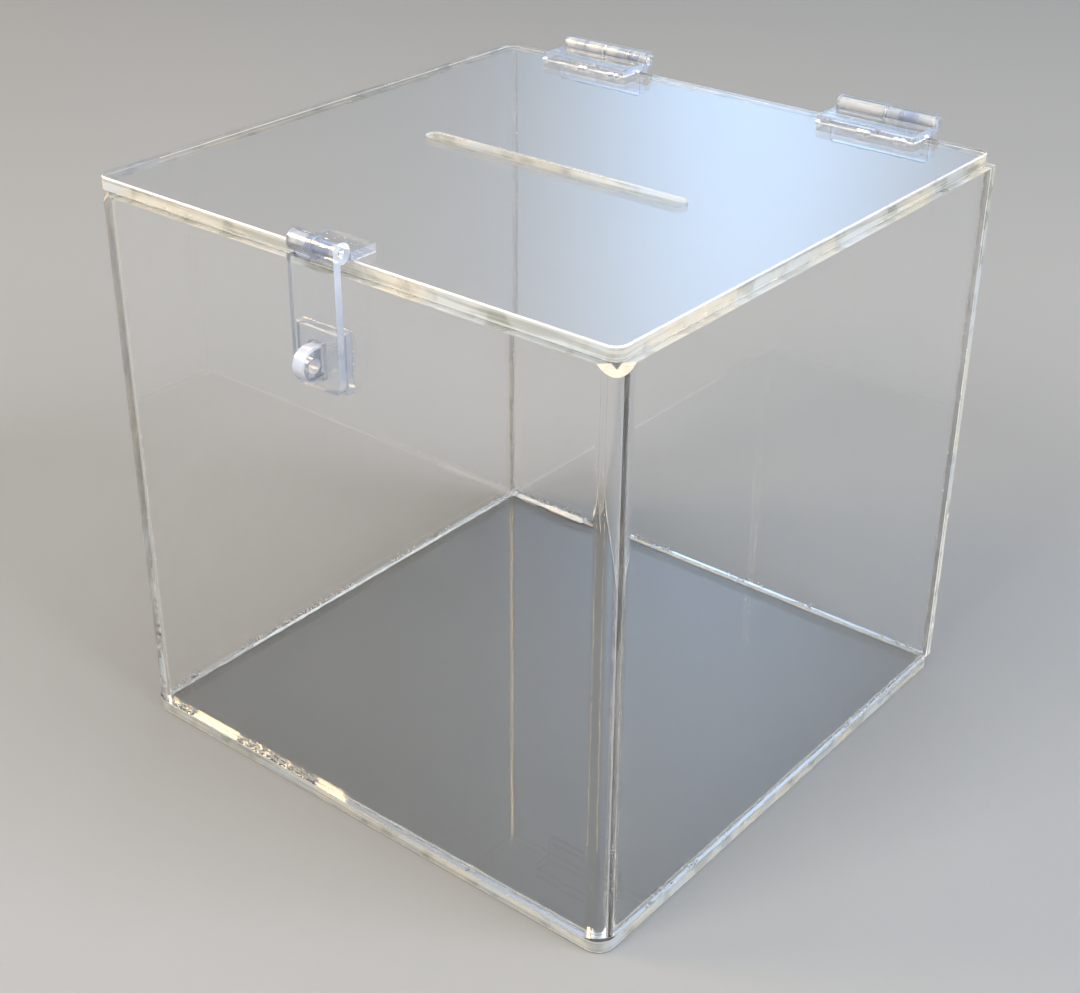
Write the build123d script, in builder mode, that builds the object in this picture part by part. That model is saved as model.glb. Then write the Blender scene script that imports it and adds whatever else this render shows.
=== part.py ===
from build123d import *
import math
import os

# Clear acrylic donation box: a cube of glued sheet with a lid hinged at the back and a
# hasp at the front. Millimetres. Origin at the middle of the underside, +Z up,
# the hasp side faces -Y, the hinges are on the +Y side.

# Sheet and body
body_width = 200.0
body_depth = 200.0
sheet = 4.5
glue = 0.05
wall_height = 186.5
back_edge_radius = 1.5
base_corner_radius = 6.0
edge_break = 0.4

# Walls: one strip bent round both front corners, closed by a flat back panel
bend_radius = 7.0
top_corner_dip = 3.0
bottom_corner_dip = 1.0

# Lid, set a little to the left and back from the front edge
lid_width = 198.4
lid_depth = 196.4
lid_x = -1.0
lid_y = 0.1
lid_corner_radius = 4.0
moving_gap = 0.3
slot_length = 102.0
slot_width = 6.4
slot_x = 0.5
slot_y = -3.2

# Lid hinges
hinge_x = 58.0
hinge_length = 36.0
hinge_radius = 3.0
hinge_reach = 15.0
leaf_thickness = 2.6
pin_radius = 1.3
bore_radius = 1.35

# Hasp
hasp_x = -0.2
hasp_width = 18.0
hasp_radius = 3.2
hasp_axis_y = -102.6
hasp_leaf_back_y = -89.5
strap_bottom = 157.6
strap_corner_radius = 2.5
strap_slot_width = 5.8
strap_slot_height = 11.4

# Staple on the front wall
plate_thickness = 2.8
plate_bottom = 157.0
plate_height = 18.5
lug_thickness = 4.6
lug_height = 10.0
lug_tip_y = -113.0
padlock_hole_radius = 2.3
padlock_hole_y = -108.6

# Levels and planes that follow from the sizes above
front_y = -body_depth / 2
back_y = body_depth / 2
wall_bottom = sheet + glue
wall_top = wall_bottom + wall_height
lid_bottom = wall_top + moving_gap
lid_top = lid_bottom + sheet
side_length = body_depth - sheet - glue
lid_leaf_bottom = lid_top + glue
wall_leaf_front = back_y + glue
hinge_axis_y = wall_leaf_front + hinge_radius
hinge_axis_z = lid_leaf_bottom + hinge_radius
hasp_axis_z = lid_leaf_bottom + hasp_radius
strap_front_y = hasp_axis_y - hasp_radius
strap_back_y = strap_front_y + leaf_thickness
plate_back_y = front_y - glue
lug_root_y = plate_back_y - plate_thickness - glue
lug_radius = lug_height / 2
lug_z = plate_bottom + plate_height / 2

os.makedirs("parts", exist_ok=True)


def save(part, name):
    """Label a finished part and write it as one STEP file."""
    part.label = name
    export_step(part, f"parts/{name}.step")


def corner_cutter(x_sign, level, dip):
    """Wedge that takes the outer lip off a front bend, up to `dip` mm at the very corner.

    A positive dip cuts down from the level, a negative one cuts up from it.
    """
    chord = bend_radius / math.sqrt(2)
    reach = bend_radius
    drop = reach * dip / (bend_radius - chord)
    spare = math.copysign(2, dip)
    centre = (x_sign * (body_width / 2 - bend_radius), front_y + bend_radius, level)
    across_bend = Plane(origin=centre, x_dir=(x_sign, -1, 0), z_dir=(-1, -x_sign, 0))
    with BuildPart() as cutter:
        with BuildSketch(across_bend):
            with BuildLine():
                Polyline(
                    (chord, 0),
                    (chord + reach, -drop),
                    (chord + reach, spare),
                    (chord, spare),
                    close=True,
                )
            make_face()
        extrude(amount=bend_radius, both=True)
    return cutter.part


def make_leaf(x_mid, length, plate_y, plate_z, axis_y, axis_z, radius, side):
    """Hinge leaf: a flat plate with a half-length knuckle on its left (-1) or right (+1)."""
    half = length / 2
    knuckle_start = x_mid - half if side < 0 else x_mid + moving_gap / 2
    relief_start = x_mid - moving_gap / 2 if side < 0 else x_mid - half - 1
    relief_length = half + moving_gap / 2 + 1
    relief_size = 2 * (radius + moving_gap)
    with BuildPart() as leaf:
        with BuildSketch(Plane.YZ.offset(x_mid - half)):
            with Locations((sum(plate_y) / 2, sum(plate_z) / 2)):
                Rectangle(plate_y[1] - plate_y[0], plate_z[1] - plate_z[0])
        extrude(amount=length)
        with BuildSketch(Plane.YZ.offset(relief_start)):
            with Locations((axis_y, axis_z)):
                Rectangle(relief_size, relief_size)
        extrude(amount=relief_length, mode=Mode.SUBTRACT)
        with BuildSketch(Plane.YZ.offset(knuckle_start)):
            with Locations((axis_y, axis_z)):
                Circle(radius)
        extrude(amount=half - moving_gap / 2)
        with BuildSketch(Plane.YZ.offset(x_mid - length)):
            with Locations((axis_y, axis_z)):
                Circle(bore_radius)
        extrude(amount=2 * length, mode=Mode.SUBTRACT)
    return leaf.part


def make_pin(x_mid, length, axis_y, axis_z):
    """Clear rod that joins the two leaves of one hinge."""
    with BuildPart() as pin:
        with BuildSketch(Plane.YZ.offset(x_mid - length / 2)):
            with Locations((axis_y, axis_z)):
                Circle(pin_radius)
        extrude(amount=length)
        chamfer(pin.edges().filter_by(GeomType.CIRCLE), length=0.2)
    return pin.part


# Base panel: the walls stand on it
with BuildPart() as base_panel:
    with BuildSketch(Plane.XY):
        RectangleRounded(body_width, body_depth, base_corner_radius)
    extrude(amount=sheet)
    chamfer(base_panel.faces().sort_by(Axis.Z)[0].edges(), length=edge_break)
save(base_panel.part, "base_panel")

# Front and sides: one strip with two heat bends; the back ends butt against the back panel
with BuildPart() as wall_wrap:
    with BuildSketch(Plane.XY.offset(wall_bottom)) as wrap_outline:
        with Locations((0, front_y + side_length / 2)):
            Rectangle(body_width, side_length)
        front_outside = wrap_outline.vertices().group_by(Axis.Y)[0]
        fillet(front_outside, radius=bend_radius)
    extrude(amount=wall_height)
    with BuildSketch(Plane.XY.offset(wall_bottom)) as wrap_inside:
        with Locations((0, front_y + sheet + body_depth / 2)):
            Rectangle(body_width - 2 * sheet, body_depth)
        front_inside = wrap_inside.vertices().group_by(Axis.Y)[0]
        fillet(front_inside, radius=bend_radius - sheet)
    extrude(amount=wall_height, mode=Mode.SUBTRACT)
    for x_sign in (-1, 1):
        add(corner_cutter(x_sign, wall_top, top_corner_dip), mode=Mode.SUBTRACT)
        add(corner_cutter(x_sign, wall_bottom, -bottom_corner_dip), mode=Mode.SUBTRACT)
save(wall_wrap.part, "wall_wrap")

# Back panel: full width, glued over the ends of the strip
with BuildPart() as back_panel:
    with BuildSketch(Plane.XY.offset(wall_bottom)):
        with Locations((0, back_y - sheet / 2)):
            Rectangle(body_width, sheet)
    extrude(amount=wall_height)
    fillet(back_panel.edges().filter_by(Axis.Z).group_by(Axis.Y)[-1], radius=back_edge_radius)
save(back_panel.part, "back_panel")

# Lid panel with the slot for the gifts
with BuildPart() as lid_panel:
    with BuildSketch(Plane.XY.offset(lid_bottom)):
        with Locations((lid_x, lid_y)):
            RectangleRounded(lid_width, lid_depth, lid_corner_radius)
    extrude(amount=sheet)
    chamfer(lid_panel.faces().sort_by(Axis.Z)[-1].edges(), length=edge_break)
    chamfer(lid_panel.faces().sort_by(Axis.Z)[0].edges(), length=edge_break)
    with BuildSketch(Plane.XY.offset(lid_bottom)):
        with Locations((slot_x, slot_y)):
            SlotOverall(slot_length, slot_width)
    extrude(amount=sheet, mode=Mode.SUBTRACT)
save(lid_panel.part, "lid_panel")

# Two lid hinges: one leaf on top of the lid, one down the outside of the back wall
for side_name, x_mid in (("left", -hinge_x), ("right", hinge_x)):
    lid_leaf = make_leaf(
        x_mid,
        hinge_length,
        (hinge_axis_y - hinge_reach, hinge_axis_y),
        (lid_leaf_bottom, lid_leaf_bottom + leaf_thickness),
        hinge_axis_y,
        hinge_axis_z,
        hinge_radius,
        -1,
    )
    save(lid_leaf, f"hinge_{side_name}_lid_leaf")
    wall_leaf = make_leaf(
        x_mid,
        hinge_length,
        (wall_leaf_front, wall_leaf_front + leaf_thickness),
        (hinge_axis_z - hinge_reach, hinge_axis_z),
        hinge_axis_y,
        hinge_axis_z,
        hinge_radius,
        1,
    )
    save(wall_leaf, f"hinge_{side_name}_wall_leaf")
    hinge_pin = make_pin(x_mid, hinge_length, hinge_axis_y, hinge_axis_z)
    save(hinge_pin, f"hinge_{side_name}_pin")

# Hasp leaf on the lid, reaching past the lid's front edge
hasp_lid_leaf = make_leaf(
    hasp_x,
    hasp_width,
    (hasp_axis_y, hasp_leaf_back_y),
    (lid_leaf_bottom, lid_leaf_bottom + leaf_thickness),
    hasp_axis_y,
    hasp_axis_z,
    hasp_radius,
    -1,
)
save(hasp_lid_leaf, "hasp_lid_leaf")

# Hasp strap: hangs in front of the staple plate, with a slot that the lug comes through
strap_blank = make_leaf(
    hasp_x,
    hasp_width,
    (strap_front_y, strap_back_y),
    (strap_bottom, hasp_axis_z),
    hasp_axis_y,
    hasp_axis_z,
    hasp_radius,
    1,
)
with BuildPart() as hasp_strap:
    add(strap_blank)
    with BuildSketch(Plane.XZ.offset(-strap_back_y)):
        with Locations((hasp_x, lug_z)):
            RectangleRounded(strap_slot_width, strap_slot_height, 1.0)
    extrude(amount=leaf_thickness, mode=Mode.SUBTRACT)
    lower_corners = hasp_strap.edges().filter_by(Axis.Y).group_by(Axis.Z)[0]
    fillet(lower_corners, radius=strap_corner_radius)
save(hasp_strap.part, "hasp_strap")

hasp_pin = make_pin(hasp_x, hasp_width, hasp_axis_y, hasp_axis_z)
save(hasp_pin, "hasp_pin")

# Staple plate glued to the front wall
with BuildPart() as staple_plate:
    with BuildSketch(Plane.XZ.offset(-plate_back_y)):
        with Locations((hasp_x, lug_z)):
            Rectangle(hasp_width, plate_height)
    extrude(amount=plate_thickness)
    chamfer(staple_plate.faces().sort_by(Axis.Y)[0].edges(), length=edge_break)
save(staple_plate.part, "staple_plate")

# Staple lug: a D-shaped tab with the padlock hole across it
with BuildPart() as staple_lug:
    with BuildSketch(Plane.YZ.offset(hasp_x - lug_thickness / 2)):
        with Locations(((lug_root_y + lug_tip_y + lug_radius) / 2, lug_z)):
            Rectangle(lug_root_y - lug_tip_y - lug_radius, lug_height)
        with Locations((lug_tip_y + lug_radius, lug_z)):
            Circle(lug_radius)
        with Locations((padlock_hole_y, lug_z)):
            Circle(padlock_hole_radius, mode=Mode.SUBTRACT)
    extrude(amount=lug_thickness)
    side_faces = staple_lug.faces().sort_by(Axis.X)
    outer_rims = side_faces[0].outer_wire().edges() + side_faces[-1].outer_wire().edges()
    tip_rims = [e for e in outer_rims if e.center().Y < lug_root_y - 0.1]
    chamfer(tip_rims, length=edge_break)
save(staple_lug.part, "staple_lug")
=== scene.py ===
import math
import random

import bmesh
import bpy
from mathutils import Matrix, Vector, noise


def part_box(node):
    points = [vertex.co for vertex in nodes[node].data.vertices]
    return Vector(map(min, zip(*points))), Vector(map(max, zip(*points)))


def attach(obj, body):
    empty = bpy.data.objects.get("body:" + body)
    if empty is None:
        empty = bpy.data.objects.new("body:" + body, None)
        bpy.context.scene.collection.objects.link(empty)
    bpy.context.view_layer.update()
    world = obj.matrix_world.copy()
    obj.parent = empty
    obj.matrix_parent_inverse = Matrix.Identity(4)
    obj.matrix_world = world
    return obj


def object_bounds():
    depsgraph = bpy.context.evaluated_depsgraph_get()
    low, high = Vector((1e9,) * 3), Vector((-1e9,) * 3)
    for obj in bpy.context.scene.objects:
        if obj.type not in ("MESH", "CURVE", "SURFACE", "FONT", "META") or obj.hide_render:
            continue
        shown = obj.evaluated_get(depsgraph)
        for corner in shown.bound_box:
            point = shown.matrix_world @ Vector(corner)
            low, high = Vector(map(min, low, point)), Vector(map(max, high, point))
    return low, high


# Looks of a clear acrylic donation box. The CAD nodes keep their shapes and get materials; cement,
# froth and trapped air are added round the glued joints. Metres, in the CAD frame: +X right,
# +Y back, +Z up, with the hasp at the front.

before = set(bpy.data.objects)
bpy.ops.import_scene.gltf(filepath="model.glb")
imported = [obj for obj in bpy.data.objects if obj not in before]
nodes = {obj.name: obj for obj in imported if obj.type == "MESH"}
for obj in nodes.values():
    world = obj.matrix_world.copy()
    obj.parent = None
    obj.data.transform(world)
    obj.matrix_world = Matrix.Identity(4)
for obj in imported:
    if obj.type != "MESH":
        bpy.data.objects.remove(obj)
bpy.context.view_layer.update()
cad_low, cad_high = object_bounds()
middle = (cad_low + cad_high) / 2

MM = 0.001
NEAR = 0.1 * MM
RIGHT = Vector((1, 0, 0))
BACK = Vector((0, 1, 0))
UP = Vector((0, 0, 1))
ACRYLIC_IOR = 1.49

# A face looks along an axis when its normal's share of that axis is over this
ALONG = 0.9

# On the walls, a normal's upright share tells a level top edge from a filed facet and a plain face
LEVEL = 0.95
UPRIGHT = 0.1

# Cement: how far a bead stays off the faces, and the usual length of its legs
THIN_GAP = 0.02 * MM
GAP = 0.06 * MM
FREE_EDGE_LEG = 0.45 * MM
SIDE_LEG = 0.40 * MM

# Sockets of the Mix node when it mixes colours
MIX_FACTOR = 0
MIX_FIRST = 6
MIX_SECOND = 7
MIX_RESULT = 2

lid_low, lid_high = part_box("lid_panel")
wrap_low, wrap_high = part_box("wall_wrap")
back_low, back_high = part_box("back_panel")
base_low, base_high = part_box("base_panel")
plate_low, plate_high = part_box("staple_plate")
wall = back_high.y - back_low.y
inner_x = wrap_high.x - wall
foot = base_high.z

# ---------------------------------------------------------------- node helpers


class Graph:
    """The node tree of a material or world, with short calls for the nodes used here."""

    def __init__(self, owner):
        owner.use_nodes = True
        self.owner = owner
        self.tree = owner.node_tree
        self.tree.nodes.clear()

    def node(self, kind, **settings):
        made = self.tree.nodes.new("ShaderNode" + kind)
        for key, value in settings.items():
            setattr(made, key, value)
        return made

    def plug(self, value, socket):
        """Link a socket, or set a plain number or vector on the node."""
        if isinstance(value, bpy.types.NodeSocket):
            self.tree.links.new(value, socket)
        else:
            socket.default_value = value

    def show(self, shader, output="OutputMaterial"):
        self.plug(shader.outputs[0], self.node(output).inputs["Surface"])

    def maths(self, operation, *values, clamp=False):
        made = self.node("Math", operation=operation, use_clamp=clamp)
        for value, socket in zip(values, made.inputs):
            self.plug(value, socket)
        return made.outputs[0]

    def spread(self, value, low, high, to_low=0.0, to_high=1.0):
        """Smooth step from low..high to to_low..to_high."""
        made = self.node("MapRange", clamp=True, interpolation_type="SMOOTHSTEP")
        for given, socket in zip((value, low, high, to_low, to_high), made.inputs):
            self.plug(given, socket)
        return made.outputs[0]

    def place(self, scale=(1, 1, 1), turn=(0, 0, 0), shift=(0, 0, 0)):
        """Object coordinates, in metres in the CAD frame, turned and scaled."""
        made = self.node("Mapping")
        self.plug(self.node("TexCoord").outputs["Object"], made.inputs["Vector"])
        made.inputs["Location"].default_value = shift
        made.inputs["Rotation"].default_value = turn
        made.inputs["Scale"].default_value = scale
        return made.outputs[0]

    def along(self, vector, axis):
        """One axis of a vector."""
        split = self.node("SeparateXYZ")
        self.plug(vector, split.inputs[0])
        return split.outputs["XYZ".index(axis)]

    def noise(self, where, scale, detail=3.0, rough=0.55):
        made = self.node("TexNoise")
        self.plug(where, made.inputs["Vector"])
        made.inputs["Scale"].default_value = scale
        made.inputs["Detail"].default_value = detail
        made.inputs["Roughness"].default_value = rough
        return made.outputs[0]

    def cells(self, where, scale):
        """Distance to the middle of the nearest cell."""
        made = self.node("TexVoronoi")
        self.plug(where, made.inputs["Vector"])
        made.inputs["Scale"].default_value = scale
        return made.outputs["Distance"]

    def tint(self, factor, first, second):
        """Mix two colours, each of them a plain colour or a socket."""
        made = self.node("Mix", data_type="RGBA")
        self.plug(factor, made.inputs[MIX_FACTOR])
        for colour, index in ((first, MIX_FIRST), (second, MIX_SECOND)):
            linked = isinstance(colour, bpy.types.NodeSocket)
            self.plug(colour if linked else (*colour, 1), made.inputs[index])
        return made.outputs[MIX_RESULT]

    def bump(self, height, strength, distance, before=None):
        made = self.node("Bump")
        made.inputs["Strength"].default_value = strength
        made.inputs["Distance"].default_value = distance
        self.plug(height, made.inputs["Height"])
        if before is not None:
            self.plug(before, made.inputs["Normal"])
        return made.outputs[0]


def acrylic(graph, colour, rough, normal, clearness=1.0):
    """Acrylic shader: clearness 1 is fully clear, and less is milky."""
    shader = graph.node("BsdfPrincipled")
    shader.inputs["Transmission Weight"].default_value = clearness
    shader.inputs["IOR"].default_value = ACRYLIC_IOR
    graph.plug(colour, shader.inputs["Base Color"])
    graph.plug(rough, shader.inputs["Roughness"])
    graph.plug(normal, shader.inputs["Normal"])
    graph.show(shader)
    return graph.owner


# ---------------------------------------------------------------- materials


def hairlines(graph, turn, fineness):
    """Sparse straight scratches running one way."""
    band = graph.noise(graph.place((9, fineness, fineness), turn), 1.0, 1.0, 0.4)
    off_centre = graph.maths("ABSOLUTE", graph.maths("SUBTRACT", band, 0.5))
    line = graph.spread(off_centre, 0.0, 0.012, 1.0, 0.0)
    cloud = graph.noise(graph.place(turn=turn, shift=(3, 5, 7)), 34.0, 2.0)
    return graph.maths("MULTIPLY", line, graph.spread(cloud, 0.60, 0.72))


def sheet_face_material(name):
    """Polished face of cast sheet: faint smears, sparse hairline scratches, slight waviness."""
    graph = Graph(bpy.data.materials.new(name))
    smudge = graph.spread(graph.noise(graph.place(), 13.0, 4.0, 0.6), 0.5, 0.72)
    one_way = hairlines(graph, (0.3, 0.5, 0.4), 260)
    other_way = hairlines(graph, (1.1, 0.2, 1.9), 340)
    scratch = graph.maths("MAXIMUM", one_way, other_way)
    haze = graph.maths("MULTIPLY", smudge, 0.010)
    rough = graph.maths("MULTIPLY_ADD", scratch, 0.08, haze)
    wave = graph.bump(graph.noise(graph.place(), 11.0, 1.0), 0.25, 0.0004)
    colour = graph.tint(smudge, (0.997, 0.999, 1.0), (0.982, 0.988, 0.993))
    return acrylic(graph, colour, rough, graph.bump(scratch, 0.1, 0.00002, wave))


def sheet_edge_material(name, across=None, low=0.0, high=0.0):
    """Cut edge after flame polishing: long streaks, soft mottling, and a painted white highlight
    along the arrises.

    across is the axis through the sheet's thickness, which runs from low to high. It is left out
    for the walls, whose thickness turns with the bends.
    """
    graph = Graph(bpy.data.materials.new(name))
    stretch = [650.0 if axis == across else 16.0 for axis in "XYZ"]
    grain = graph.noise(graph.place(stretch, shift=(1, 6, 2)), 1.0, 2.0, 0.6)
    streak = graph.spread(grain, 0.44, 0.60)
    waves = graph.noise(graph.place(), 90.0, 2.0, 0.5)
    hue = graph.noise(graph.place(shift=(2, 1, 4)), 38.0, 3.0, 0.6)
    cloud = graph.noise(graph.place(shift=(7, 3, 1)), 110.0, 2.0, 0.5)
    blotch = graph.maths("MULTIPLY", graph.spread(cloud, 0.50, 0.66), 0.40)
    pearl = graph.tint(graph.spread(hue, 0.38, 0.62), (0.86, 0.93, 1.0), (1.0, 0.94, 0.80))
    murk = graph.maths("MULTIPLY_ADD", streak, 0.55, blotch, clamp=True)
    mottled = graph.tint(murk, pearl, (0.36, 0.39, 0.35))

    # Painted highlight on the arrises: white on slanting faces, and on the last half millimetre of
    # each flat side
    normal = graph.node("TexCoord").outputs["Normal"]
    slant = graph.maths("ABSOLUTE", graph.along(normal, "Z"))
    leaning = graph.spread(slant, 0.4, 0.6)
    not_flat = graph.spread(slant, 0.8, 0.95, 1.0, 0.0)
    painted_arris_highlight = graph.maths("MULTIPLY", leaning, not_flat)
    if across:
        half = (high - low) / 2
        depth = graph.maths("SUBTRACT", graph.along(graph.place(), across), (low + high) / 2)
        from_middle = graph.maths("ABSOLUTE", depth)
        wear_and_highlight_band = graph.spread(from_middle, half - 0.8 * MM, half - 0.45 * MM)
        painted_arris_highlight = graph.maths("MAXIMUM", painted_arris_highlight, graph.maths("MULTIPLY", wear_and_highlight_band, 0.9))

    # The arrises get the painted white highlight over the mottle
    colour = graph.tint(painted_arris_highlight, mottled, (1.0, 1.0, 1.0))
    satin = graph.spread(hue, 0.3, 0.7, 0.10, 0.28)
    rough = graph.maths("MULTIPLY_ADD", painted_arris_highlight, 0.1, satin)
    relief = graph.bump(waves, 0.08, 0.0003, graph.bump(hue, 0.2, 0.0003))
    return acrylic(graph, colour, rough, relief, clearness=0.60)


def facet_material(name):
    """Hand-filed facet on the bends: matt cream with file strokes, and a dark V of painted shade
    at its middle.
    """
    graph = Graph(bpy.data.materials.new(name))
    strokes = graph.noise(graph.place((1, 1, 9)), 260.0, 3.0, 0.6)
    cloud = graph.noise(graph.place(), 300.0, 2.0)
    where = graph.place()
    # The facet's middle lies where |x| = -y, on the diagonals through both front corners
    sideways = graph.maths("ABSOLUTE", graph.along(where, "X"))
    off_middle = graph.maths("ABSOLUTE", graph.maths("ADD", sideways, graph.along(where, "Y")))
    height = graph.maths("SUBTRACT", graph.along(where, "Z"), wrap_high.z - 1.5 * MM)
    over_slope = graph.maths("SUBTRACT", height, graph.maths("MULTIPLY", off_middle, 0.75))
    painted_shade_v = graph.spread(over_slope, -0.1 * MM, 0.3 * MM)
    cream = graph.tint(cloud, (0.95, 0.74, 0.55), (1.0, 0.88, 0.74))
    # Painted shade: the V at the facet's middle is coloured dark
    colour = graph.tint(painted_shade_v, cream, (0.16, 0.17, 0.19))
    rough = graph.spread(strokes, 0.3, 0.7, 0.25, 0.5)
    return acrylic(graph, colour, rough, graph.bump(strokes, 0.3, 0.0001), clearness=0.5)


def moulded_material(name, clearness=1.0):
    """Small fittings, bluer than the sheet: clear, or pearly where clearness is under 1."""
    graph = Graph(bpy.data.materials.new(name))
    flow = graph.noise(graph.place((1, 1.6, 1.6)), 150.0, 2.0)
    speck = graph.spread(graph.cells(graph.place(), 900.0), 0.0, 0.14, 1.0, 0.0)
    worn = graph.spread(graph.noise(graph.place(), 420.0, 2.0), 0.5, 0.75)
    if clearness < 1.0:
        colour = graph.tint(flow, (0.66, 0.76, 1.0), (0.93, 0.96, 1.0))
        rough = graph.maths("MULTIPLY_ADD", worn, 0.12, 0.12)
    else:
        colour = graph.tint(flow, (0.97, 0.985, 1.0), (0.92, 0.95, 1.0))
        rough = graph.maths("MULTIPLY_ADD", worn, 0.05, graph.maths("MULTIPLY", speck, 0.12))
    relief = graph.bump(speck, 0.1, 0.00006, graph.bump(flow, 0.12, 0.0002))
    return acrylic(graph, colour, rough, relief, clearness)


def bore_material(name):
    """Drilled bore: frosted by the drill, with its rings, and rubbed clearer in patches."""
    graph = Graph(bpy.data.materials.new(name))
    rings = graph.noise(graph.place((1, 0.12, 0.12)), 900.0, 2.0)
    cloud = graph.noise(graph.place((1, 0.3, 0.3), shift=(5, 2, 0)), 95.0, 2.0)
    wear_and_highlight_band = graph.spread(cloud, 0.44, 0.60)
    colour = graph.tint(wear_and_highlight_band, (1.0, 1.0, 1.0), (0.42, 0.50, 0.72))
    frost = graph.spread(wear_and_highlight_band, 0.0, 1.0, 0.35, 0.12)
    rough = graph.maths("MULTIPLY_ADD", rings, 0.2, frost)
    return acrylic(graph, colour, rough, graph.bump(rings, 0.3, 0.00008), clearness=0.5)


def cement_material(name):
    """Solvent cement squeezed out of a joint: milky clear, lumpy, with trapped air."""
    graph = Graph(bpy.data.materials.new(name))
    cloud = graph.noise(graph.place(), 240.0, 3.0, 0.65)
    air = graph.spread(graph.cells(graph.place(), 1300.0), 0.05, 0.30, 1.0, 0.0)
    colour = graph.tint(cloud, (1.0, 0.99, 0.96), (0.93, 0.965, 1.0))
    rough = graph.maths("MULTIPLY_ADD", air, 0.2, graph.spread(cloud, 0.3, 0.7, 0.08, 0.28))
    relief = graph.bump(air, 0.3, 0.0002, graph.bump(cloud, 0.2, 0.0003))
    return acrylic(graph, colour, rough, relief, clearness=0.55)


def froth_material(name):
    """Cement so full of air that it reads as white froth."""
    graph = Graph(bpy.data.materials.new(name))
    grain = graph.cells(graph.place(), 1500.0)
    pits = graph.spread(grain, 0.1, 0.5)
    shader = graph.node("BsdfPrincipled")
    shader.inputs["IOR"].default_value = ACRYLIC_IOR
    shader.inputs["Coat Weight"].default_value = 0.6
    colour = graph.tint(pits, (1.0, 1.0, 0.98), (0.80, 0.84, 0.88))
    graph.plug(colour, shader.inputs["Base Color"])
    graph.plug(graph.spread(grain, 0.0, 0.6, 0.15, 0.45), shader.inputs["Roughness"])
    graph.plug(graph.bump(pits, 0.5, 0.0003), shader.inputs["Normal"])
    graph.show(shader)
    return graph.owner


def bubble_material(name):
    """Air trapped in a joint: small bright flecks."""
    graph = Graph(bpy.data.materials.new(name))
    glint = graph.noise(graph.place(), 1500.0, 2.0)
    colour = graph.tint(glint, (1.0, 0.985, 0.95), (0.94, 0.97, 1.0))
    rough = graph.spread(glint, 0.3, 0.7, 0.08, 0.3)
    return acrylic(graph, colour, rough, graph.bump(glint, 0.3, 0.0001), clearness=0.2)


# ---------------------------------------------------------------- materials on the CAD nodes


def wear(name, material, side_material, is_side):
    """Give a CAD node its material, and a second one to the faces that is_side picks."""
    mesh = nodes[name].data
    mesh.materials.clear()
    mesh.materials.append(material)
    mesh.materials.append(side_material)
    for face in mesh.polygons:
        face.material_index = 1 if is_side(face.normal, face.center) else 0


def wear_also(name, material, is_picked):
    """Add one more material to a CAD node, on the faces that is_picked picks."""
    mesh = nodes[name].data
    mesh.materials.append(material)
    for face in mesh.polygons:
        if is_picked(face.normal, face.center):
            face.material_index = len(mesh.materials) - 1


def cut_side_test(name):
    """Give the test that picks a fitting's narrow cut sides."""
    low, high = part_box(name)
    free_y = high.y if name == "hasp_lid_leaf" else low.y
    strap_tip = low.z + 2.6 * MM

    def is_cut_side(normal, centre):
        sideways = abs(normal.x) > ALONG
        if name == "staple_plate":
            return abs(normal.y) < ALONG
        if name == "staple_lug":
            return not sideways
        if name == "hasp_strap":
            return abs(normal.x) > 0.3 or (normal.z < -0.3 and centre.z < strap_tip)
        if name.endswith("pin"):
            return sideways
        if name.endswith("wall_leaf"):
            return sideways or normal.z < -ALONG
        return sideways or (abs(normal.y) > ALONG and abs(centre.y - free_y) < NEAR)

    return is_cut_side


def frost_bore(name, pin_name):
    """Frost the faces of a knuckle that lie round its pin."""
    low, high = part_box(pin_name)
    axis_y = (low.y + high.y) / 2
    axis_z = (low.z + high.z) / 2
    reach = (high.z - low.z) / 2 + NEAR

    def is_bore(normal, centre):
        away = math.hypot(centre.y - axis_y, centre.z - axis_z)
        return abs(normal.x) < 0.5 and away < reach

    wear_also(name, bore, is_bore)


polished = sheet_face_material("acrylic_face")
lid_edge = sheet_edge_material("acrylic_lid_edge", "Z", lid_low.z, lid_high.z)
base_edge = sheet_edge_material("acrylic_base_edge", "Z", base_low.z, base_high.z)
back_edge = sheet_edge_material("acrylic_back_edge", "Y", back_low.y, back_high.y)
wall_edge = sheet_edge_material("acrylic_wall_edge")
facet = facet_material("acrylic_facet")
fitting = moulded_material("acrylic_fitting")
fitting_side = moulded_material("acrylic_fitting_side", 0.58)
leaf_side = moulded_material("acrylic_leaf_side", 0.80)
bore = bore_material("acrylic_bore")

wear("lid_panel", polished, lid_edge, lambda normal, centre: abs(normal.z) < ALONG)
wear("base_panel", polished, base_edge, lambda normal, centre: abs(normal.z) < ALONG)
wear(
    "back_panel",
    polished,
    back_edge,
    lambda normal, centre: abs(normal.y) < ALONG and normal.z > -0.5,
)
wear(
    "wall_wrap",
    polished,
    wall_edge,
    lambda normal, centre: normal.z > LEVEL
    or (normal.y > ALONG and abs(centre.y - wrap_high.y) < NEAR),
)
wear_also("wall_wrap", facet, lambda normal, centre: UPRIGHT < abs(normal.z) < LEVEL)

for name in nodes:
    if name.startswith(("hinge", "hasp", "staple")):
        is_leaf = name.startswith("hinge") or name == "hasp_lid_leaf"
        wear(name, fitting, leaf_side if is_leaf else fitting_side, cut_side_test(name))
for side in ("left", "right"):
    frost_bore(f"hinge_{side}_lid_leaf", f"hinge_{side}_pin")
    frost_bore(f"hinge_{side}_wall_leaf", f"hinge_{side}_pin")
frost_bore("hasp_lid_leaf", "hasp_pin")
frost_bore("hasp_strap", "hasp_pin")

# ---------------------------------------------------------------- cement

cement = cement_material("acrylic_cement")
froth = froth_material("acrylic_froth")
bubbles = bubble_material("acrylic_bubbles")


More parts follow.
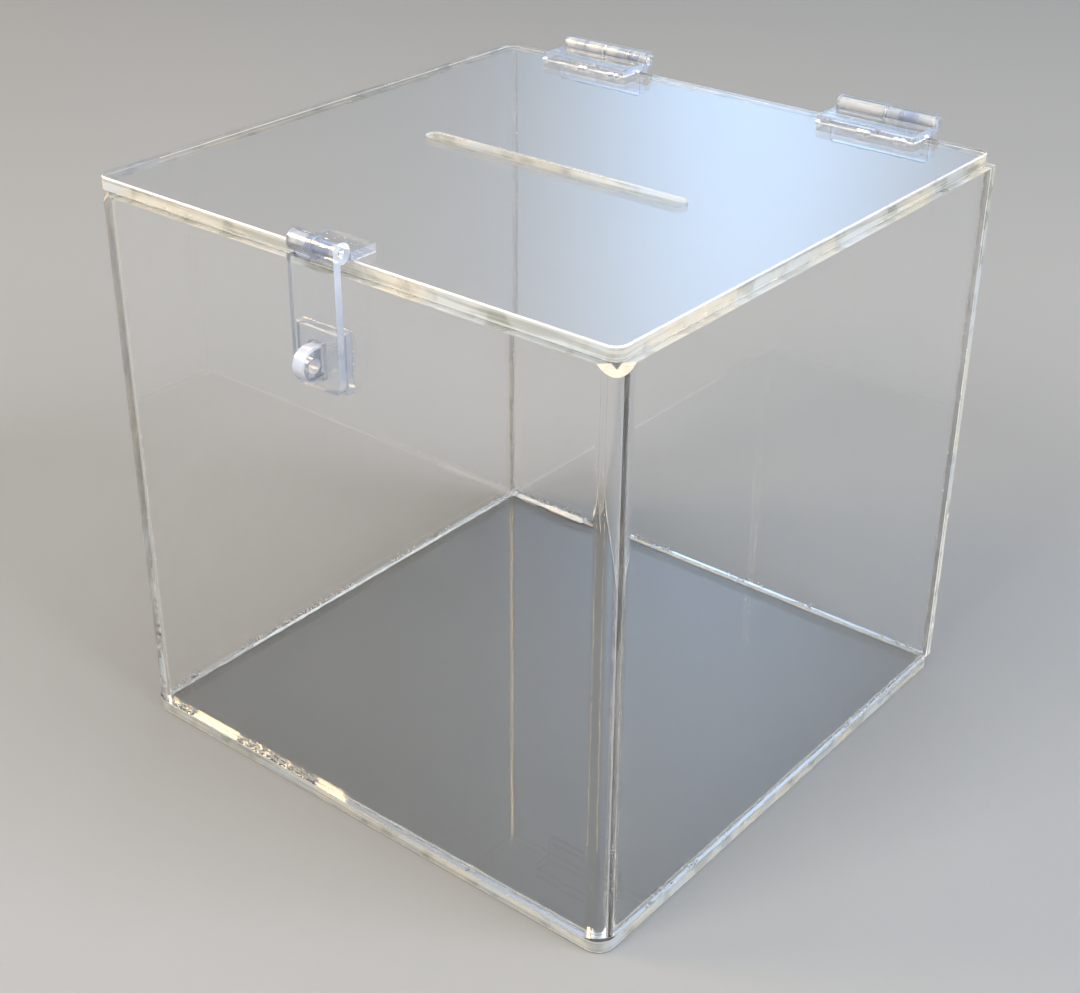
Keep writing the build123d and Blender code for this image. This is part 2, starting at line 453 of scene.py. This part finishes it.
def piece(name, bm, body, material):
    """Turn a bmesh into an object that rides on a body."""
    mesh = bpy.data.meshes.new(name)
    bmesh.ops.recalc_face_normals(bm, faces=bm.faces)
    bm.to_mesh(mesh)
    bm.free()
    for face in mesh.polygons:
        face.use_smooth = True
    mesh.materials.append(material)
    made = bpy.data.objects.new(name, mesh)
    bpy.context.scene.collection.objects.link(made)
    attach(made, body)


def add_bubble(bm, centre, half_x, half_y, half_z):
    """One flattened bubble, given by its half widths."""
    ball = bmesh.ops.create_icosphere(bm, subdivisions=1, radius=1.0)
    for vertex in ball["verts"]:
        x, y, z = vertex.co
        vertex.co = Vector((x * half_x, y * half_y, z * half_z)) + Vector(centre)


def bead(bm, route, gap, leg, lumpiness, seed, closed=False):
    """Lumpy fillet of cement run along a route.

    The route is a list of (point, side, side), with the two directions that the fillet's legs lie
    along. gap keeps it off both faces, leg is the usual length of a leg, and seed picks the lumps.
    An open bead tapers at its ends.
    """
    arc_steps = 4
    rings = []
    for index, (point, first, second) in enumerate(route):
        wobble = noise.noise(Vector(point) * 160 + Vector((seed, 0, 0)))
        ripple = noise.noise(Vector(point) * 520 + Vector((0, seed, 0)))
        length = leg * max(0.35, 1 + lumpiness * wobble + 0.4 * lumpiness * ripple)
        if not closed and index in (0, len(route) - 1):
            length *= 0.3
        start = Vector(point) + (first + second) * gap
        ring = [start]
        for step in range(arc_steps + 1):
            angle = math.radians(90 * step / arc_steps)
            bulge = 0.72 + 0.28 * abs(math.cos(2 * angle))
            outward = first * math.cos(angle) + second * math.sin(angle)
            ring.append(start + outward * length * bulge)
        rings.append([bm.verts.new(corner) for corner in ring])
    pairs = list(zip(rings, rings[1:]))
    if closed:
        pairs.append((rings[-1], rings[0]))
    for one, other in pairs:
        for here in range(len(one)):
            after = (here + 1) % len(one)
            bm.faces.new((one[here], one[after], other[after], other[here]))
    if not closed:
        bm.faces.new(rings[0])
        bm.faces.new(rings[-1])


def straight(start, end, first, second, pitch=0.8 * MM):
    """Route points along one straight corner."""
    start = Vector(start)
    end = Vector(end)
    count = max(4, round((end - start).length / pitch))
    return [(start.lerp(end, k / count), first, second) for k in range(count + 1)]


def round_corner(centre_x, centre_y, radius, from_angle, steps=8):
    """Route points inside a quarter bend at the foot of the walls, without its two ends."""
    made = []
    for step in range(1, steps):
        angle = math.radians(from_angle + 90 * step / steps)
        out = Vector((math.cos(angle), math.sin(angle), 0))
        made.append((Vector((centre_x, centre_y, foot)) + out * radius, -out, UP))
    return made


def side_bead(bm, start, end, outward, rise, leg, seed):
    """Cement along one side of a glued plate: outward along the sheet, and rising off it."""
    route = straight(start, end, outward, rise, pitch=0.5 * MM)
    bead(bm, route, THIN_GAP, leg, 0.8, seed)


def leaf_cement(name, body, left_end, right_end, reach, rise, seed):
    """Cement round a leaf: along its free edge, and up both sides as far as reach goes."""
    left_end = Vector(left_end)
    right_end = Vector(right_end)
    bm = bmesh.new()
    side_bead(bm, left_end, right_end, -reach.normalized(), rise, FREE_EDGE_LEG, seed)
    side_bead(bm, left_end, left_end + reach, -RIGHT, rise, SIDE_LEG, seed + 1)
    side_bead(bm, right_end, right_end + reach, RIGHT, rise, SIDE_LEG, seed + 2)
    piece(name, bm, body, cement)


def froth_knot(bm, centre, half_length, count, draw):
    """A knot of small bubbles standing on the lid."""
    for _ in range(count):
        radius = draw.uniform(0.45, 0.85) * MM
        along = draw.uniform(-1, 1) * half_length
        offset = Vector((along, draw.uniform(-0.4, 0.4) * MM, radius * 0.75))
        add_bubble(bm, Vector(centre) + offset, radius, radius, radius * 0.8)


# The fillet inside the foot of the walls, all the way round; bend is the inner radius of the bends
bend = 2.5 * MM
bend_x = inner_x - bend
front_y = wrap_low.y + wall
bend_y = front_y + bend
back_y = back_low.y
foot_route = straight((inner_x, back_y, foot), (-inner_x, back_y, foot), -BACK, UP)
foot_route += straight((-inner_x, back_y, foot), (-inner_x, bend_y, foot), RIGHT, UP)[1:]
foot_route += round_corner(-bend_x, bend_y, bend, 180)
foot_route += straight((-bend_x, front_y, foot), (bend_x, front_y, foot), BACK, UP)
foot_route += round_corner(bend_x, bend_y, bend, 270)
foot_route += straight((inner_x, bend_y, foot), (inner_x, back_y, foot), -RIGHT, UP)[:-1]
bm = bmesh.new()
bead(bm, foot_route, GAP, 0.85 * MM, 0.3, 3.0, closed=True)
piece("cement_foot", bm, "box", cement)

# Frothy cement at the back left, where the last joint was flooded
bm = bmesh.new()
corner = Vector((-inner_x + 0.4 * MM, back_y - 0.4 * MM, foot + 0.3 * MM))
along_back = 38 * MM
along_side = 150 * MM
knot_size = 1.6 * MM
bead(bm, straight(corner, corner + along_back * RIGHT, -BACK, UP), 0.0, 1.5 * MM, 0.5, 21.0)
bead(bm, straight(corner, corner - along_side * BACK, RIGHT, UP), 0.0, 0.75 * MM, 0.6, 25.0)
draw = random.Random(7)
for _ in range(26):
    radius = draw.uniform(0.5, 1.1) * MM
    away = Vector((draw.random() ** 2, -(draw.random() ** 2), draw.random())) * knot_size
    spot = corner + away + Vector((radius, -radius, radius))
    add_bubble(bm, spot, radius, radius, radius * 0.8)
piece("froth_foot_back", bm, "box", froth)

# The two upright joints between the side walls and the back panel
bm = bmesh.new()
for sign in (-1, 1):
    start = (sign * inner_x, back_y, foot + 1.4 * MM)
    end = (sign * inner_x, back_y, back_high.z - 0.6 * MM)
    bead(bm, straight(start, end, -sign * RIGHT, -BACK), GAP, 0.45 * MM, 0.7, 9.0 + sign)
piece("cement_uprights", bm, "box", cement)

# Cement squeezed out round the hinge leaves; it stops hem short of the sheet's own edge
top = lid_high.z
rear = back_high.y
hem = 0.8 * MM
for side in ("left", "right"):
    low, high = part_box(f"hinge_{side}_lid_leaf")
    reach = (lid_high.y - hem - low.y) * BACK
    ends = (low.x, low.y, top), (high.x, low.y, top)
    leaf_cement(f"cement_hinge_{side}_lid", "lid", *ends, reach, UP, 4.0)
    low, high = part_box(f"hinge_{side}_wall_leaf")
    reach = (back_high.z - hem - low.z) * UP
    ends = (low.x, rear, low.z), (high.x, rear, low.z)
    leaf_cement(f"cement_hinge_{side}_wall", "box", *ends, reach, BACK, 7.0)

# White froth at the corners and along the free edge of the hinges' lid leaves
draw = random.Random(15)
for side in ("left", "right"):
    low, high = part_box(f"hinge_{side}_lid_leaf")
    free_y = low.y - 0.3 * MM
    bm = bmesh.new()
    froth_knot(bm, (low.x - 1.1 * MM, lid_high.y - 2.2 * MM, top), 0.7 * MM, 7, draw)
    froth_knot(bm, (low.x + 0.8 * MM, free_y, top), 0.8 * MM, 5, draw)
    froth_knot(bm, ((low.x + high.x) / 2, free_y, top), 2.4 * MM, 9, draw)
    froth_knot(bm, (high.x - 4.5 * MM, free_y, top), 2.2 * MM, 8, draw)
    froth_knot(bm, (high.x + 0.4 * MM, lid_high.y - 2.4 * MM, top), 0.6 * MM, 6, draw)
    piece(f"froth_hinge_{side}", bm, "lid", froth)

# Cement round the hasp's leaf and the staple plate
low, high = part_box("hasp_lid_leaf")
reach = (lid_low.y + hem - high.y) * BACK
ends = (low.x, high.y, top), (high.x, high.y, top)
leaf_cement("cement_hasp_lid", "lid", *ends, reach, UP, 2.0)

bm = bmesh.new()
low_left = Vector((plate_low.x, wrap_low.y, plate_low.z))
width = (plate_high.x - plate_low.x) * RIGHT
height = (plate_high.z - plate_low.z) * UP
sides = (
    (low_left, low_left + width, -UP),
    (low_left + height, low_left + height + width, UP),
    (low_left, low_left + height, -RIGHT),
    (low_left + width, low_left + width + height, RIGHT),
)
for seed, (start, end, outward) in enumerate(sides, 11):
    side_bead(bm, start, end, outward, -BACK, SIDE_LEG, seed)
piece("cement_staple_plate", bm, "box", cement)

# ---------------------------------------------------------------- trapped air

draw = random.Random(41)


def foot_bubbles(bm, start, end, width_axis, per_mm):
    """Scatter flattened bubbles in clusters through the foot of one wall."""
    start = Vector((*start, 0))
    end = Vector((*end, 0))
    band = wall - 1.6 * MM
    rise = 1.6 * MM
    for _ in range(round((end - start).length / MM * per_mm)):
        spot = start.lerp(end, draw.random())
        if noise.noise(spot * 45) < -0.15:
            continue
        spot += width_axis * (draw.random() - 0.5) * band
        radius = draw.uniform(0.22, 0.75) * MM
        thick = radius * draw.uniform(0.35, 0.7)
        spot.z = wrap_low.z + thick + draw.uniform(0.05, 1.0) ** 3 * rise
        add_bubble(bm, spot, radius, radius * draw.uniform(0.7, 1.0), thick)


# Air under the wall feet: dense at the left of the back and the front, and thin elsewhere
bm = bmesh.new()
mid_x = inner_x + wall / 2
mid_back = back_y + wall / 2
mid_front = wrap_low.y + wall / 2
side_back = back_y - MM
side_front = wrap_low.y + 9 * MM
dense_to = -20 * MM
foot_bubbles(bm, (-mid_x + 2 * MM, mid_back), (dense_to, mid_back), BACK, 4.5)
foot_bubbles(bm, (dense_to, mid_back), (mid_x - 2 * MM, mid_back), BACK, 1.2)
foot_bubbles(bm, (-mid_x, side_back), (-mid_x, side_front), RIGHT, 2.0)
foot_bubbles(bm, (-inner_x + 4 * MM, mid_front), (dense_to, mid_front), BACK, 5.0)
foot_bubbles(bm, (mid_x, side_front), (mid_x, side_back), RIGHT, 0.5)
piece("bubbles_foot", bm, "box", bubbles)

# Flecks of air under the lid leaves
bm = bmesh.new()
for name in ("hinge_left_lid_leaf", "hinge_right_lid_leaf", "hasp_lid_leaf"):
    low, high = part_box(name)
    y_low = max(low.y, lid_low.y) + 1.2 * MM
    y_high = min(high.y, lid_high.y) - 1.2 * MM
    for _ in range(34 if name.startswith("hinge") else 16):
        radius = draw.uniform(0.12, 0.36) * MM
        thick = radius * 0.45
        x = draw.uniform(low.x + MM, high.x - MM)
        y = draw.uniform(y_low, y_high)
        add_bubble(bm, (x, y, low.z + thick + 0.06 * MM), radius, radius * 0.8, thick)
piece("bubbles_lid_leaves", bm, "lid", bubbles)

# Flecks of air behind the wall leaves and the staple plate
bm = bmesh.new()
for name in ("hinge_left_wall_leaf", "hinge_right_wall_leaf", "staple_plate"):
    low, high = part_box(name)
    glued_y = high.y - 0.2 * MM if name == "staple_plate" else low.y + 0.2 * MM
    z_high = min(high.z, back_high.z) - 1.5 * MM
    for _ in range(26 if name.startswith("hinge") else 14):
        radius = draw.uniform(0.12, 0.34) * MM
        x = draw.uniform(low.x + MM, high.x - MM)
        z = draw.uniform(low.z + MM, z_high)
        add_bubble(bm, (x, glued_y, z), radius, radius * 0.4, radius * 0.8)
piece("bubbles_box_leaves", bm, "box", bubbles)

# ---------------------------------------------------------------- floor, light, camera


def floor_material(name):
    """Plain pale studio floor with a faint mottle."""
    graph = Graph(bpy.data.materials.new(name))
    shader = graph.node("BsdfPrincipled")
    patch = graph.noise(graph.place(), 1.7, 4.0)
    colour = graph.tint(patch, (0.212, 0.221, 0.232), (0.237, 0.243, 0.252))
    graph.plug(colour, shader.inputs["Base Color"])
    graph.plug(graph.spread(patch, 0.3, 0.7, 0.75, 0.85), shader.inputs["Roughness"])
    graph.show(shader)
    return graph.owner


floor_mesh = bpy.data.meshes.new("studio_floor")
bm = bmesh.new()
bmesh.ops.create_grid(bm, x_segments=8, y_segments=8, size=6.0)
bm.to_mesh(floor_mesh)
bm.free()
floor_mesh.materials.append(floor_material("studio_floor"))
floor = bpy.data.objects.new("studio_floor", floor_mesh)
bpy.context.scene.collection.objects.link(floor)
floor_gap = 0.2 * MM
floor.location = (0, 0, cad_low.z - floor_gap)


def light_the_world(world):
    """Pale studio dome, brighter overhead, with one tall soft blue glow behind the object."""
    graph = Graph(world)
    where = graph.node("TexCoord").outputs["Generated"]

    def toward(direction):
        """How squarely the dome is seen along a direction: 1 ahead, 0 at right angles."""
        made = graph.node("VectorMath", operation="DOT_PRODUCT")
        graph.plug(where, made.inputs[0])
        made.inputs[1].default_value = direction
        return made.outputs["Value"]

    def fall_off(direction, width):
        """Squared distance from the glow's middle, in widths."""
        return graph.maths("POWER", graph.maths("DIVIDE", toward(direction), width), 2.0)

    height = graph.spread(toward(UP), -0.1, 0.9)
    dome = graph.tint(height, (0.62, 0.65, 0.70), (0.95, 0.97, 1.0))

    centre = Vector((-0.491, 0.786, 0.375)).normalized()
    across = UP.cross(centre).normalized()
    upward = centre.cross(across)
    glow_width = 0.10
    glow_height = 0.30
    sideways = fall_off(across, glow_width)
    off_centre = graph.maths("ADD", sideways, fall_off(upward, glow_height))
    fade = graph.maths("EXPONENT", graph.maths("MULTIPLY", off_centre, -1.0))
    ahead = graph.maths("GREATER_THAN", toward(centre), 0.0)
    strength = graph.maths("MULTIPLY", graph.maths("MULTIPLY", fade, ahead), 4.2)
    glow = graph.node("VectorMath", operation="SCALE")
    glow.inputs[0].default_value = (0.38, 0.64, 1.0)
    graph.plug(strength, glow.inputs["Scale"])

    lit = graph.node("Mix", data_type="RGBA", blend_type="ADD")
    lit.inputs[MIX_FACTOR].default_value = 1.0
    graph.plug(dome, lit.inputs[MIX_FIRST])
    graph.plug(glow.outputs[0], lit.inputs[MIX_SECOND])
    background = graph.node("Background")
    background.inputs["Strength"].default_value = 0.45
    graph.plug(lit.outputs[MIX_RESULT], background.inputs["Color"])
    graph.show(background, "OutputWorld")


bpy.context.scene.world = bpy.data.worlds.new("studio")
light_the_world(bpy.context.scene.world)


def softbox(name, place, width, height, power, colour):
    """Rectangular soft light aimed at the object and hidden from the camera."""
    lamp = bpy.data.lights.new(name, "AREA")
    lamp.shape = "RECTANGLE"
    lamp.size = width
    lamp.size_y = height
    lamp.energy = power
    lamp.color = colour
    light = bpy.data.objects.new(name, lamp)
    bpy.context.scene.collection.objects.link(light)
    light.location = place
    light.rotation_euler = (middle - Vector(place)).to_track_quat("-Z", "Y").to_euler()
    light.visible_camera = False


softbox("softbox_top", (0.3, 0.0, 2.1), 1.6, 1.6, 24, (1.0, 0.985, 0.96))
softbox("softbox_front", (-0.28, -2.1, 1.87), 1.3, 0.9, 64, (1.0, 0.93, 0.84))
softbox("softbox_warm", (-1.75, -1.14, 1.55), 0.85, 0.8, 38, (1.0, 0.70, 0.34))
softbox("softbox_right", (2.2, 0.34, 1.70), 1.9, 1.1, 84, (0.92, 0.96, 1.0))

# Camera in front, round to the right and above, with a slight roll
camera_place = (0.33246, -0.41770, 0.37646)
azimuth = math.radians(38.97)
elevation = math.radians(29.25)
roll = math.radians(0.374)
camera_data = bpy.data.cameras.new("camera")
camera_data.lens = 59.64
camera_data.sensor_width = 36.0
camera_data.sensor_fit = "HORIZONTAL"
camera = bpy.data.objects.new("camera", camera_data)
bpy.context.scene.collection.objects.link(camera)
aim = (
    Matrix.Rotation(azimuth, 4, "Z")
    @ Matrix.Rotation(math.pi / 2 - elevation, 4, "X")
    @ Matrix.Rotation(roll, 4, "Z")
)
camera.matrix_world = Matrix.Translation(camera_place) @ aim
bpy.context.scene.camera = camera
bpy.context.scene.view_settings.view_transform = "Standard"
bpy.context.scene.view_settings.exposure = 0.05

# Light passes through many clear walls, and bounces inside each, before it leaves the box
cycles = bpy.context.scene.cycles
cycles.max_bounces = 96
cycles.transmission_bounces = 64
cycles.glossy_bounces = 64
cycles.diffuse_bounces = 3
cycles.caustics_reflective = False
cycles.caustics_refractive = True

bpy.context.view_layer.update()
